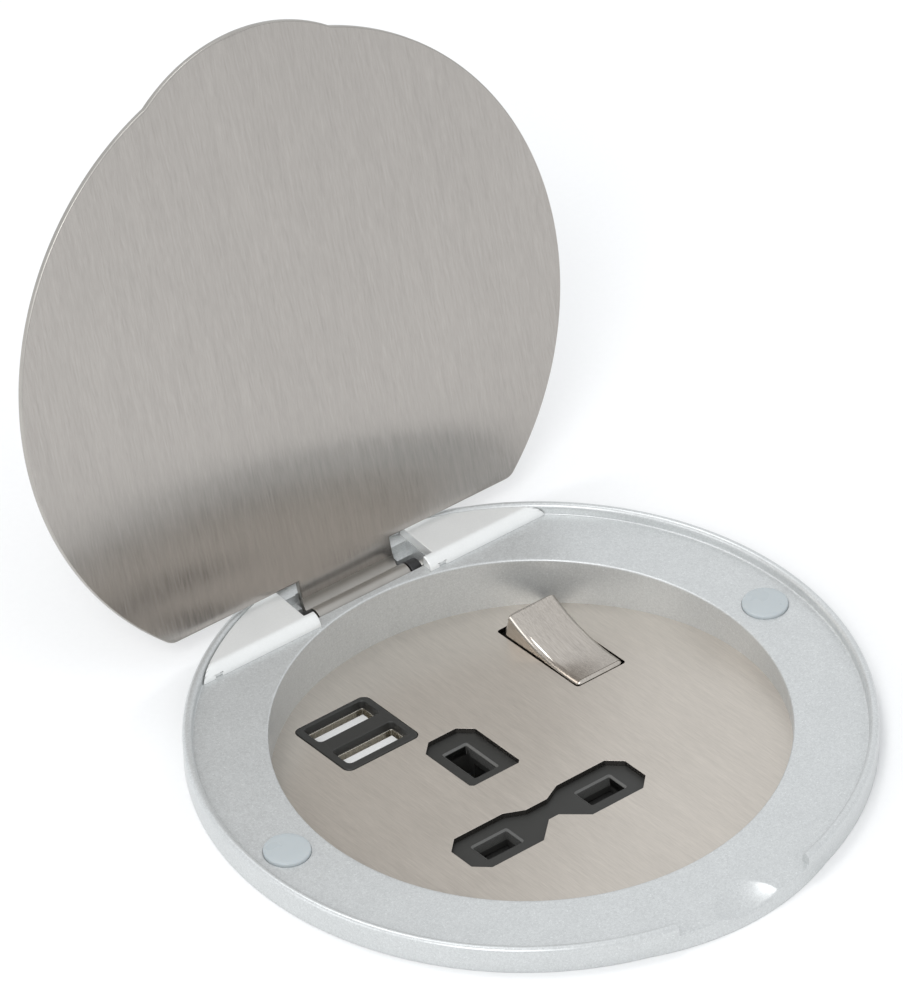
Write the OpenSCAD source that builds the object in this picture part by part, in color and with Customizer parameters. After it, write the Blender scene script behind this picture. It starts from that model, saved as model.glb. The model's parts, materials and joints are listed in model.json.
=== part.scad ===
// Recessed desk socket: a round unit that drops into a hole in a desk, with a hinged sheet lid, a switched
// square-pin socket and two charging ports on a sloping plate at the bottom of its well.
// The origin is on the barrel's axis at the desk surface. +Z is up, the hinge is at +Y and the lid's
// finger tab at -Y. The lid is drawn open.

/* [Flange and rim] */
// Outer radius of the flange
flange_r = 59.7; // [59:0.1:61]
// Height of the lid seat above the desk
flange_t = 3.0; // [2.8:0.1:3.4]
// Height of the rim above the lid seat
rim_h = 2.0; // [1.8:0.1:2.2]
// Inner radius of the rim
rim_in_r = 58.0; // [57.8:0.1:58.2]
// Width of the gap in the rim for the finger tab
rim_gap_w = 27.8; // [27:0.1:30]

/* [Well and barrel] */
// Inner radius of the well
well_r = 45.0; // [44.5:0.1:45]
// Wall thickness of the well
well_wall = 2.2; // [1.8:0.1:2.4]
// Outer radius of the barrel that passes through the desk
barrel_r = 55.0; // [54.8:0.1:55.4]
// Wall thickness of the barrel
barrel_wall = 3.2; // [3:0.1:3.4]
// Length of the barrel below the desk surface
barrel_h = 34.0; // [33.5:0.5:36]

/* [Lid] */
// Radius of the lid
lid_r = 56.4; // [56:0.1:56.6]
// Thickness of the lid sheet
lid_t = 1.2; // [1:0.1:1.2]
// Distance of the lid's straight edge from the well axis, closed
lid_edge_y = 42.5; // [42:0.1:43]
// Radius of the finger tab's arc
tab_r = 33.1; // [32:0.1:34]
// Reach of the finger tab from the well axis, closed
tab_reach = 59.2; // [58.8:0.1:59.4]
// Angle that the lid opens through
lid_open = 104.9; // [100:0.1:105]
// Width of the lid's tongue
tongue_w = 20.0; // [19:0.5:20]

/* [Hinge] */
// Distance of the hinge axis from the well axis
hinge_y = 48.8; // [48.6:0.1:49]
// Height of the hinge axis above the desk
hinge_z = 0.66; // [0.6:0.02:0.7]
// Radius of the hinge pin
pin_r = 1.2; // [1:0.1:1.2]
// Distance of the covers' front line from the well axis
cover_y = 44.0; // [43.8:0.1:44.2]

/* [Socket plate] */
// Slope of the plate, higher at the front
plate_tilt = 5.5; // [5:0.1:6]
// Height of the plate's centre above the desk
plate_z = -3.5; // [-3.8:0.1:-3.4]
// Thickness of the plate
plate_t = 1.0; // [0.8:0.1:1]
// Distance between the live and neutral pins, and from them to the earth pin
pin_pitch = 22.23; // [22.2:0.01:22.26]
// Sideways place of the earth pin
socket_x = -8.0; // [-8.2:0.1:-7.8]
// Place of the live and neutral pins along the plate
row_t = -15.2; // [-15.3:0.1:-15.1]

/* [Switch and charger] */
// Sideways place of the rocker
rocker_x = 23.3; // [23:0.1:23.5]
// Place of the rocker's axle along the plate
rocker_t = 21.75; // [21.5:0.05:22]
// Tilt of the rocker to each side of level
rocker_tilt = 13.6; // [12:0.1:13.6]
// Sideways place of the charger
usb_x = -18.4; // [-18.6:0.1:-18.2]
// Place of the charger along the plate
usb_t = 25.9; // [25.7:0.1:26.1]

/* [Below the desk] */
// Thickness of the locking ring
lock_h = 8.0; // [6:0.5:8]
// Height of the locking ring's top face
lock_z = -18.0; // [-20:0.5:-18]
// Depth of the base cover
base_h = 18.0; // [17:0.5:20]

/* [Hidden] */
$fn = 96;
eps = 0.01;

silver = [0.80, 0.81, 0.81];
brushed = [0.66, 0.63, 0.58];
nickel = [0.72, 0.69, 0.64];
steel = [0.62, 0.62, 0.61];
brass = [0.80, 0.62, 0.30];
black = [0.10, 0.10, 0.10];
grey = [0.30, 0.31, 0.32];
clear = [0.76, 0.82, 0.84];
white = [0.92, 0.92, 0.90];
green = [0.08, 0.32, 0.18];

rim_w = flange_r - rim_in_r;
rim_top = flange_t + rim_h;
skirt_in_r = barrel_r - barrel_wall;

// Lid seat and lid, closed
lid_under = rim_top - lid_t;
tongue_flat = 3.7;
curl_y = lid_edge_y + tongue_flat;
curl_in_r = lid_under - hinge_z;
curl_out_r = curl_in_r + lid_t;
knuckle_r = 2.0;
running_gap = 0.05;
corner_r = 3.0;
corner_y = lid_edge_y - corner_r;
corner_x = sqrt(pow(lid_r - corner_r, 2) - pow(corner_y, 2));

// Hinge pocket in the flange
pocket_half = 13.9;
pocket_front = 46.3;
pocket_back = 52.0;
pocket_floor = -1.8;
// Shallow step behind the pocket: how far back it reaches, and its level
step_back = 53.9;
step_floor = 1.2;
// Hollow that the tongue turns in: its centre from the hinge axis, and its side gap
swing_y = 0.68;
swing_z = 2.54;
swing_gap = 0.45;
block_half = 16.8;
block_floor = -4.4;
block_front = 45.0;
block_back = 56.0;
bush_len = 2.2;
bush_gap = 0.3;
fit_gap = 0.02;

// Hinge covers
cover_inner_x = 12.0;
cover_step_x = 14.0;
nose_r = 2.4;
cover_gap = 0.25;
cover_screw = [18.8, 46.1];
// Catch notch in each cover's foot: sideways place on the left and right, and its size
notch_x = [-33.9, 14.7];
notch = [1.4, 0.9];
notch_h = 0.7;

// Thumb scoop
scoop_r = 6.15;
scoop_deep = 1.1;
scoop_ball = (pow(scoop_r, 2) + pow(scoop_deep, 2)) / (2 * scoop_deep);
flare_r = 47.4;
flare_reach = 60.6;

bumper_x = 51.8;
bumper_r = 4.1;
bumper_h = 1.05;
bumper_sunk = 0.3;
bumper_dome = 24;

// Levels below the plate's top face, along the plate's own normal
plate_r = well_r + 1.4;
front_t = 2.5;
front_w = -plate_t - front_t;
block_w = -7.2;
pocket_roof = -4.2;
back_w = -26;
leaf_top = -8.2;
leaf_low = -19;
terminal_low = -24;
leaf_t = 0.8;
shutter_top = -4.5;
shutter_low = -6.6;
switch_floor = -12.5;
switch_base = -14.5;
body_at = [socket_x, -5.2];
body_size = [46, 44.8];

// Socket outlines
earth_t = row_t + pin_pitch;
line_x = socket_x + pin_pitch / 2;
neutral_x = socket_x - pin_pitch / 2;
flat_slot = [7.05, 4.35];
earth_slot = [4.6, 8.7];
slot_bevel = 0.4;

// Fixings
cover_shank_r = 1.2;
module_shank_r = 1.2;
back_shank_r = 1.0;
base_shank_r = 1.4;
terminal_shank_r = 1.5;
thread_gap = 0.05;
module_boss_r = 2.6;
base_boss_r = 3.5;
base_pillar_r = 3.8;
module_fix_r = 47.7;
module_fix_angles = [20, 160, 218, 322];
base_fix_r = 49.0;
base_fix_angles = [0, 90, 180, 270];
back_fix_points = [[-28.6, 14.6], [12.6, 14.6], [-28.6, -25], [12.6, -25]];

// Rocker, measured from its axle
axle_w = -4.0;
axle_r = 1.0;
stud_r = 1.5;
rocker_w = 10.3;
rocker_top = 7.2;
rocker_dip = 1.6;
rocker_top_half = 10.2;
rocker_foot_half = 11.3;
dip_r = (pow(rocker_top_half, 2) + pow(rocker_dip, 2)) / (2 * rocker_dip);

// Charging ports
port_pitch = 8.55;
port_at = [usb_x + 0.1, usb_t + 0.4];
port = [12.4, 4.75];
port_mouth = [12.9, 5.15];
shell_wall = 0.3;
shell_w = -1.45;
shell_h = 13.0;
tongue_t = 0.5;
tongue_top = shell_w - 0.35;

// Cable gland
gland_y = -24;
gland_r = 8.0;
cable_r = 4.2;
base_z = -barrel_h - base_h;
base_floor = 2.4;

// Places children in the sloping plate's own frame
module on_plate() {
  translate([0, 0, plate_z])
    rotate([-plate_tilt, 0, 0])
      children();
}

// Rectangle with round corners, centred
module round_rect(size, r) {
  square([size[0] - 2 * r, size[1]], center = true);
  square([size[0], size[1] - 2 * r], center = true);
  for (x = [-1, 1], y = [-1, 1])
    translate([x * (size[0] / 2 - r), y * (size[1] / 2 - r)])
      circle(r);
}

// Rectangular block from its plan centre, size, and lower and upper level
module block(at, size, low, high) {
  translate([at[0] - size[0] / 2, at[1] - size[1] / 2, low])
    cube([size[0], size[1], high - low]);
}

// Everything above the plate's top face
module above_plate() {
  on_plate()
    translate([0, 0, 30])
      cube([140, 140, 60], center = true);
}

// Extrudes a YZ profile along X, centred
module along_x(length) {
  rotate([90, 0, 90])
    translate([0, 0, -length / 2])
      linear_extrude(length)
        children();
}

// ---------------------------------------------------------------- bezel

// Rim with a full round top
module rim() {
  difference() {
    rotate_extrude() {
      translate([rim_in_r, flange_t - 0.5])
        square([rim_w, rim_h + 0.5 - rim_w / 2]);
      translate([rim_in_r + rim_w / 2, rim_top - rim_w / 2])
        circle(rim_w / 2);
    }
    block([0, -flange_r], [rim_gap_w, 30], flange_t, rim_top + 1);
  }
}

// Space that the lid's tongue swings through
module hinge_pocket() {
  block([0, (pocket_front + pocket_back) / 2], [2 * pocket_half, pocket_back - pocket_front],
    pocket_floor, rim_top);
  block([0, (pocket_front + step_back) / 2], [2 * pocket_half, step_back - pocket_front],
    step_floor, rim_top);
  intersection() {
    along_x(tongue_w + 2 * swing_gap) {
      translate([hinge_y + swing_y, hinge_z + swing_z])
        circle(curl_out_r + 0.35);
      translate([hinge_y, hinge_z])
        circle(knuckle_r + 0.5);
    }
    block([0, pocket_front + 10], [2 * pocket_half, 20], -3, rim_top);
  }
}

module bezel_ring() {
  color(silver)
  difference() {
    union() {
      cylinder(r = flange_r, h = flange_t);
      translate([0, flare_r - flare_reach, 0])
        cylinder(r1 = flare_r, r2 = flare_r - 1.1, h = flange_t);
      rim();
      intersection() {
        translate([0, 0, -16])
          cylinder(r = well_r + well_wall, h = 16 + flange_t / 2);
        above_plate();
      }
      difference() {
        translate([0, 0, -barrel_h])
          cylinder(r = barrel_r, h = barrel_h + 1);
        translate([0, 0, -barrel_h - 1])
          cylinder(r = skirt_in_r, h = barrel_h + 1);
      }
      // Block around the hinge pocket
      intersection() {
        block([0, (block_front + block_back) / 2], [2 * block_half, block_back - block_front],
          block_floor, 1);
        translate([0, 0, -10])
          cylinder(r = barrel_r - 0.5, h = 12);
      }
      // Bosses that the socket module is screwed to
      intersection() {
        on_plate()
          for (a = module_fix_angles)
            rotate(a)
              translate([module_fix_r, 0, -plate_t])
                cylinder(r = module_boss_r, h = 12);
        translate([0, 0, -20])
          cylinder(r = skirt_in_r + 1, h = 21);
      }
      // Bosses that the base cover is screwed to
      for (a = base_fix_angles)
        rotate(a)
          translate([base_fix_r, 0, -barrel_h])
            cylinder(r = base_boss_r, h = barrel_h - 13.5);
    }
    // Well
    intersection() {
      translate([0, 0, -20])
        cylinder(r = well_r, h = 30);
      above_plate();
    }
    // Seat for the socket plate, which reaches up into the flange at the front
    on_plate()
      translate([0, 0, -20])
        cylinder(r = plate_r + 0.05, h = 20);
    hinge_pocket();
    translate([0, hinge_y, hinge_z])
      rotate([0, 90, 0])
        cylinder(r = pin_r + fit_gap, h = 32.4, center = true);
    // Thumb scoop
    translate([0, -flange_r + 0.1, flange_t + scoop_ball - scoop_deep])
      sphere(scoop_ball);
    // Recesses for the bumpers
    for (x = [-bumper_x, bumper_x])
      translate([x, 0, flange_t - bumper_sunk])
        cylinder(r = bumper_r + 0.1, h = 1);
    for (x = [-cover_screw[0], cover_screw[0]])
      translate([x, cover_screw[1], -1])
        cylinder(r = cover_shank_r + 2 * thread_gap, h = flange_t + 2);
    on_plate()
      for (a = module_fix_angles)
        rotate(a)
          translate([module_fix_r, 0, -plate_t - 1])
            cylinder(r = module_shank_r + thread_gap, h = 5.4);
    for (a = base_fix_angles)
      rotate(a)
        translate([base_fix_r, 0, -barrel_h - 1])
          cylinder(r = base_shank_r + thread_gap, h = 11);
  }
}

// ---------------------------------------------------------------- hinge and lid

// Moulded cover over one end of the hinge: flat on top with a rounded nose
module hinge_cover(side) {
  color(silver)
  difference() {
    intersection() {
      translate([side * (cover_inner_x + 20), 0, 0])
        along_x(40)
          intersection() {
            union() {
              translate([cover_y + nose_r, rim_top - nose_r])
                circle(nose_r);
              translate([cover_y + nose_r, flange_t])
                square([20, rim_h]);
            }
            translate([cover_y - 1, flange_t])
              square([30, rim_h]);
          }
      translate([0, 0, flange_t - 1])
        cylinder(r = rim_in_r - cover_gap, h = rim_h + 2);
    }
    block([side * cover_inner_x, 60 + cover_y + nose_r], [2 * (cover_step_x - cover_inner_x), 120], 0, 10);
    translate([side * cover_screw[0], cover_screw[1], 0])
      cylinder(r = cover_shank_r + fit_gap, h = rim_top - 0.7);
    // Small catch notch at the foot of the nose
    block([side < 0 ? notch_x[0] : notch_x[1], cover_y], notch, flange_t - 1, flange_t + notch_h);
  }
}

module hinge_cover_left() {
  hinge_cover(-1);
}

module hinge_cover_right() {
  hinge_cover(1);
}

module cover_screws() {
  color(steel)
  for (x = [-cover_screw[0], cover_screw[0]])
    translate([x, cover_screw[1], 0])
      difference() {
        union() {
          translate([0, 0, -1.4])
            cylinder(r = 1.75, h = 1.4);
          cylinder(r = cover_shank_r, h = rim_top - 1);
        }
        block([0, 0], [4, 0.5], -2, -0.9);
      }
}

// Outline of the lid in plan, closed
module lid_outline() {
  difference() {
    union() {
      intersection() {
        circle(lid_r, $fn = 180);
        translate([-60, -80])
          square([120, 80 + lid_edge_y]);
      }
      translate([0, tab_r - tab_reach])
        circle(tab_r);
    }
    for (s = [-1, 1])
      difference() {
        polygon([
          [s * corner_x, corner_y],
          [s * corner_x, lid_edge_y + 1],
          [s * (corner_x + 8), lid_edge_y + 1],
          [s * corner_x * lid_r * 1.1 / (lid_r - corner_r), corner_y * lid_r * 1.1 / (lid_r - corner_r)]
        ]);
        translate([s * corner_x, corner_y])
          circle(corner_r);
      }
  }
  translate([-tongue_w / 2, lid_edge_y - 5])
    square([tongue_w, 5 + tongue_flat]);
}

// The lid lying closed, with its tongue curled down to the knuckle
module lid_closed() {
  difference() {
    union() {
      translate([0, 0, lid_under])
        linear_extrude(lid_t)
          lid_outline();
      along_x(tongue_w) {
        difference() {
          translate([curl_y, hinge_z])
            circle(curl_out_r);
          translate([curl_y, hinge_z])
            circle(curl_in_r);
          translate([curl_y - 20, hinge_z - 10])
            square([20, 20]);
          translate([curl_y - 10, hinge_z - 20])
            square([20, 20]);
        }
        translate([hinge_y, hinge_z])
          circle(knuckle_r);
      }
    }
    translate([0, hinge_y, hinge_z])
      rotate([0, 90, 0])
        cylinder(r = pin_r + running_gap, h = 30, center = true);
  }
}

module lid() {
  color(brushed)
  translate([0, hinge_y, hinge_z])
    rotate([-lid_open, 0, 0])
      translate([0, -hinge_y, -hinge_z])
        lid_closed();
}

module hinge_pin() {
  color(steel)
  translate([0, hinge_y, hinge_z])
    rotate([0, 90, 0])
      cylinder(r = pin_r, h = 32, center = true);
}

module hinge_bushes() {
  color(grey)
  for (s = [-1, 1])
    translate([s * (tongue_w / 2 + bush_gap + bush_len / 2), hinge_y, hinge_z])
      rotate([0, 90, 0])
        difference() {
          cylinder(r = knuckle_r, h = bush_len, center = true);
          cylinder(r = pin_r + fit_gap, h = bush_len + 1, center = true);
        }
}

module lid_bumpers() {
  color(clear)
  for (x = [-bumper_x, bumper_x])
    translate([x, 0, flange_t - bumper_sunk])
      intersection() {
        cylinder(r = bumper_r, h = bumper_h);
        translate([0, 0, bumper_h - bumper_dome])
          sphere(bumper_dome);
      }
}

// ---------------------------------------------------------------- plate and socket

// Outline of the earth cut-out: two clipped corners at the rear
module earth_outline() {
  translate([socket_x + 0.1, 7.37])
    polygon([
      [-5.37, -7.2], [-4.8, -7.77], [4.8, -7.77], [5.37, -7.2],
      [5.37, 5.37], [2.97, 7.77], [-2.97, 7.77], [-5.37, 5.37]
    ]);
}

// Outline of the live and neutral cut-out: two clipped ends joined by a waist, deeper at the front
module row_outline() {
  translate([socket_x - 0.2, row_t - 0.34])
    polygon([
      [-18.7, -2.85], [-16.2, -5.39], [-5.25, -5.39], [-1.05, -1.34],
      [1.05, -1.34], [5.25, -5.39], [16.2, -5.39], [18.7, -2.85],
      [18.7, 2.85], [16.2, 5.39], [5.8, 5.39], [2.25, 3.5],
      [-2.25, 3.5], [-5.8, 5.39], [-16.2, 5.39], [-18.7, 2.85]
    ]);
}

module face_plate() {
  color(brushed)
  on_plate()
    difference() {
      translate([0, 0, -plate_t])
        cylinder(r = plate_r, h = plate_t);
      translate([0, 0, -plate_t - 1])
        linear_extrude(plate_t + 2) {
          earth_outline();
          row_outline();
          translate([usb_x, usb_t])
            round_rect([15.85, 16.6], 1.5);
          translate([rocker_x, rocker_t])
            round_rect([10.8, 23.3], 0.6);
          for (a = module_fix_angles)
            rotate(a)
              translate([module_fix_r, 0])
                circle(module_boss_r + thread_gap);
        }
    }
}

// One pin slot with a bevelled mouth
module pin_slot(at, size) {
  mouth = -plate_t - slot_bevel;
  block(at, size, block_w - 1, 1);
  hull() {
    block(at, size, mouth, mouth + eps);
    block(at, [size[0] + 2 * (1 - mouth), size[1] + 2 * (1 - mouth)], 1, 1 + eps);
  }
}

module socket_front() {
  color(black)
  on_plate()
    difference() {
      union() {
        translate([0, 0, front_w])
          linear_extrude(front_t) {
            circle(plate_r);
            for (a = module_fix_angles)
              rotate(a)
                translate([module_fix_r, 0])
                  circle(module_boss_r);
          }
        block(body_at, body_size, block_w, front_w + 1);
        block([rocker_x, rocker_t], [15, 25], switch_base, front_w + 1);
      }
      pin_slot([line_x, row_t], flat_slot);
      pin_slot([neutral_x, row_t], flat_slot);
      pin_slot([socket_x, earth_t], earth_slot);
      // Space that the shutter slides in
      block([socket_x, -19], [33.6, 14], block_w - 1, pocket_roof);
      block([socket_x, -6], [9.6, 31], block_w - 1, pocket_roof);
      // Switch well
      translate([rocker_x, rocker_t, switch_floor])
        linear_extrude(20)
          round_rect([11.2, 24], 0.6);
      translate([rocker_x, rocker_t, axle_w])
        rotate([0, 90, 0])
          cylinder(r = axle_r + fit_gap, h = 13.4, center = true);
      for (s = [-1, 1])
        translate([rocker_x, rocker_t + 6 * s, -15])
          cylinder(r = stud_r + fit_gap, h = 5);
      // Charger opening
      translate([usb_x, usb_t, -10])
        linear_extrude(20)
          round_rect([15.85, 16.6], 1.5);
      for (a = module_fix_angles)
        rotate(a)
          translate([module_fix_r, 0, -10])
            cylinder(r = module_shank_r + 5 * thread_gap, h = 20);
      for (p = back_fix_points)
        translate([p[0], p[1], block_w - 1])
          cylinder(r = back_shank_r + thread_gap, h = 5);
    }
}

// Sliding shutter: a blade over each flat slot and a ramped leg under the earth slot
module shutter() {
  color(black)
  on_plate()
    difference() {
      union() {
        block([line_x, -15.25], [9.6, 5.9], shutter_low, shutter_top);
        block([neutral_x, -15.25], [9.6, 5.9], shutter_low, shutter_top);
        block([socket_x, -14.2], [14, 3.8], shutter_low, shutter_top);
        block([socket_x, -4.8], [7.6, 22.6], shutter_low, shutter_top);
      }
      // Ramp that the earth pin pushes against
      translate([socket_x, 8.6, shutter_top])
        rotate([40, 0, 0])
          cube([10, 8, 3], center = true);
    }
}

// Round wire wound into a helix about Z
module helix(radius, wire_r, length, turns) {
  steps = 24 * turns;
  sides = 10;
  points = [
    for (i = [0 : steps], j = [0 : sides - 1])
      let (a = 360 * turns * i / steps, b = 360 * j / sides, r = radius + wire_r * cos(b))
        [r * cos(a), r * sin(a), length * i / steps + wire_r * sin(b)]
  ];
  walls = [
    for (i = [0 : steps - 1], j = [0 : sides - 1])
      let (k = (j + 1) % sides)
        [i * sides + j, (i + 1) * sides + j, (i + 1) * sides + k, i * sides + k]
  ];
  start = [for (j = [0 : sides - 1]) j];
  end = [for (j = [0 : sides - 1]) (steps + 1) * sides - 1 - j];
  polyhedron(points, concat(walls, [start], [end]), convexity = 4);
}

// Coil that pushes the shutter back
module shutter_spring() {
  color(steel)
  on_plate()
    translate([socket_x, -16.8, -5.6])
      rotate([90, 0, 0])
        helix(1.0, 0.25, 5.4, 5);
}

// Brass clip: two sprung leaves on a base, above a screw terminal
module contact(at, pin) {
  color(brass)
  on_plate() {
    for (s = [-1, 1])
      if (pin[0] > pin[1])
        block([at[0], at[1] + s * (pin[1] / 2 + 0.55)], [pin[0], leaf_t], leaf_low, leaf_top);
      else
        block([at[0] + s * (pin[0] / 2 + 0.55), at[1]], [leaf_t, pin[1]], leaf_low, leaf_top);
    difference() {
      block(at, [7.4, 7.4], terminal_low, leaf_low + eps);
      translate([at[0], at[1], terminal_low - 1])
        cylinder(r = terminal_shank_r + thread_gap, h = 6.5);
    }
  }
}

module earth_contact() {
  contact([socket_x, earth_t], [4.2, 7]);
}

module line_contact() {
  contact([line_x, row_t], [6.4, 4.2]);
}

module neutral_contact() {
  contact([neutral_x, row_t], [6.4, 4.2]);
}

module socket_back() {
  color(grey)
  on_plate()
    difference() {
      block(body_at, body_size, back_w, block_w - 0.1);
      for (at = [[line_x, row_t], [neutral_x, row_t], [socket_x, earth_t]]) {
        block(at, [7.6, 7.6], terminal_low - 0.1, 0);
        translate([at[0], at[1], back_w - 1])
          cylinder(r = 2.9, h = 5);
      }
      for (p = back_fix_points)
        translate([p[0], p[1], back_w - 1]) {
          cylinder(r = 1.25, h = 40);
          cylinder(r = 2.3, h = 2.8);
        }
    }
}

// Pan-head screw with a slot, head down
module screw(shank_r, shank_l, head_r, head_h) {
  difference() {
    union() {
      translate([0, 0, -head_h])
        cylinder(r = head_r, h = head_h);
      cylinder(r = shank_r, h = shank_l);
    }
    block([0, 0], [2 * head_r + 1, 0.28 * head_r], -head_h - 1, -0.6 * head_h);
  }
}

module terminal_screws() {
  color(steel)
  on_plate()
    for (at = [[line_x, row_t], [neutral_x, row_t], [socket_x, earth_t]])
      translate([at[0], at[1], terminal_low - 0.1])
        screw(terminal_shank_r, 4.5, 2.6, 1.6);
}

module back_screws() {
  color(steel)
  on_plate()
    for (p = back_fix_points)
      translate([p[0], p[1], back_w + 1.8])
        screw(back_shank_r, 20, 2.1, 1.4);
}

// ---------------------------------------------------------------- rocker

// Places children in the rocker's frame, with its rear end raised
module on_rocker() {
  on_plate()
    translate([rocker_x, rocker_t, axle_w])
      rotate([rocker_tilt, 0, 0])
        children();
}

module rocker_switch() {
  color(nickel)
  on_rocker()
    difference() {
      along_x(rocker_w)
        difference() {
          polygon([
            [-rocker_foot_half, -2], [rocker_foot_half, -2],
            [rocker_top_half, rocker_top], [-rocker_top_half, rocker_top]
          ]);
          translate([0, rocker_top + dip_r - rocker_dip])
            circle(dip_r, $fn = 180);
        }
      rotate([0, 90, 0])
        cylinder(r = axle_r + running_gap, h = 20, center = true);
      // Hollow underneath
      for (s = [-1, 1])
        block([0, s * 6.2], [7.9, 6.6], -3, 3);
    }
}

module switch_axle() {
  color(steel)
  on_plate()
    translate([rocker_x, rocker_t, axle_w])
      rotate([0, 90, 0])
        cylinder(r = axle_r, h = 13.2, center = true);
}

// Contact bar under the rocker, which moves with it
module switch_contact() {
  color(brass)
  on_rocker() {
    block([0, 0], [4, 15], -2.8, -2);
    for (s = [-1, 1])
      translate([0, 6 * s, -3.2])
        cylinder(r = 1.3, h = 0.5);
  }
}

module switch_studs() {
  color(brass)
  on_plate()
    for (s = [-1, 1])
      translate([rocker_x, rocker_t + 6 * s, -15.5]) {
        cylinder(r = stud_r, h = 6.2);
        cylinder(r = 2.6, h = 1);
      }
}

// ---------------------------------------------------------------- charger

// Places children at each charging port
module at_ports() {
  on_plate()
    for (s = [-1, 1])
      translate([port_at[0], port_at[1] + s * port_pitch / 2, 0])
        children();
}

// Round-cornered tube or bar along the plate's normal
module bar(size, r, low, high) {
  translate([0, 0, low])
    linear_extrude(high - low)
      round_rect(size, r);
}

module usb_bezel() {
  color(black)
  difference() {
    on_plate()
      translate([usb_x, usb_t, 0])
        bar([15.6, 16.35], 1.4, front_w, 0.15);
    at_ports() {
      bar(port_mouth, 0.9, shell_w - 1, 1);
      bar(port + [2, 2] * (shell_wall + 0.05), 0.75, front_w - 1, shell_w + 0.05);
    }
  }
}

module usb_shells() {
  color(steel)
  at_ports()
    difference() {
      bar(port + [2, 2] * shell_wall, 0.7, shell_w - shell_h, shell_w);
      bar(port, 0.4, -shell_h, 1);
    }
}

module usb_tongues() {
  color(white)
  at_ports()
    block([0, tongue_t], [11.1, 1.84], -shell_h, tongue_top);
}

module usb_contacts() {
  color(brass)
  at_ports()
    for (i = [-1.5 : 1.5])
      block([i * 2.3, tongue_t - 1.02], [1.0, 0.2], -shell_h + 1, tongue_top - 0.75);
}

module usb_board() {
  color(green)
  on_plate()
    block([usb_x, usb_t], [13.8, 14.8], -16.2, shell_w - shell_h - 0.1);
}

module usb_case() {
  color(black)
  on_plate()
    translate([usb_x, usb_t, 0])
      difference() {
        block([0, 0], [15.6, 16.4], -18.5, front_w - 0.1);
        block([0, 0], [14.0, 15.0], -17.3, 0);
      }
}

// ---------------------------------------------------------------- fixings and lower parts

module module_screws() {
  color(steel)
  on_plate()
    for (a = module_fix_angles)
      rotate(a)
        translate([module_fix_r, 0, front_w])
          screw(module_shank_r, 6.4, 2.3, 1.6);
}

module base_cover() {
  color(grey)
  difference() {
    union() {
      difference() {
        union() {
          translate([0, 0, base_z])
            cylinder(r = barrel_r, h = base_h - 0.05);
          translate([0, 0, -barrel_h - 1])
            cylinder(r = skirt_in_r - 0.2, h = 4);
        }
        translate([0, 0, base_z + base_floor])
          cylinder(r = skirt_in_r - 2.2, h = 40);
        for (a = base_fix_angles)
          rotate(a)
            translate([base_fix_r, 0, -barrel_h])
              cylinder(r = base_pillar_r, h = 10);
      }
      for (a = base_fix_angles)
        rotate(a)
          translate([base_fix_r, 0, base_z])
            cylinder(r = base_pillar_r, h = base_h - 0.05);
    }
    for (a = base_fix_angles)
      rotate(a)
        translate([base_fix_r, 0, base_z - 1]) {
          cylinder(r = 1.6, h = 40);
          cylinder(r = 2.9, h = 4);
        }
    translate([0, gland_y, base_z - 1])
      cylinder(r = gland_r + 0.1, h = 8);
  }
}

module base_screws() {
  color(steel)
  for (a = base_fix_angles)
    rotate(a)
      translate([base_fix_r, 0, base_z + 3])
        screw(base_shank_r, base_h + 5, 2.7, 2.0);
}

// Gland body with a hexagonal grip, through the floor of the base cover
module cable_gland() {
  color(black)
  translate([0, gland_y, base_z])
    difference() {
      union() {
        cylinder(r = gland_r, h = 9);
        translate([0, 0, -5])
          cylinder(r = 11.5, h = 5, $fn = 6);
        translate([0, 0, -10])
          cylinder(r = 8.6, h = 5 + eps);
        translate([0, 0, -12])
          cylinder(r1 = 6.6, r2 = 8.6, h = 2 + eps);
      }
      translate([0, 0, -20])
        cylinder(r = cable_r, h = 40);
    }
}

module gland_nut() {
  color(black)
  translate([0, gland_y, base_z + base_floor])
    difference() {
      cylinder(r = 11.5, h = 4, $fn = 6);
      translate([0, 0, -1])
        cylinder(r = gland_r + 0.02, h = 8);
    }
}

// Big nut with grip notches that closes up against the underside of the desk
module locking_ring() {
  notches = 12;
  color(grey)
  translate([0, 0, lock_z - lock_h])
    difference() {
      cylinder(r = barrel_r + 6.4, h = lock_h);
      translate([0, 0, -1])
        cylinder(r = barrel_r + 0.35, h = lock_h + 2);
      for (i = [0 : notches - 1])
        rotate(i * 360 / notches)
          translate([barrel_r + 8.6, 0, -1])
            cylinder(r = 4, h = lock_h - 1.5);
    }
}

bezel_ring();
hinge_cover_left();
hinge_cover_right();
cover_screws();
lid();
hinge_pin();
hinge_bushes();
lid_bumpers();
face_plate();
socket_front();
shutter();
shutter_spring();
earth_contact();
line_contact();
neutral_contact();
socket_back();
terminal_screws();
back_screws();
rocker_switch();
switch_axle();
switch_contact();
switch_studs();
usb_bezel();
usb_shells();
usb_tongues();
usb_contacts();
usb_board();
usb_case();
module_screws();
base_cover();
base_screws();
cable_gland();
gland_nut();
locking_ring();
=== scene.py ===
"""Looks for the recessed desk socket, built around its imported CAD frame."""
import json
import math

import bmesh
import bpy
from mathutils import Matrix, Vector


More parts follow.
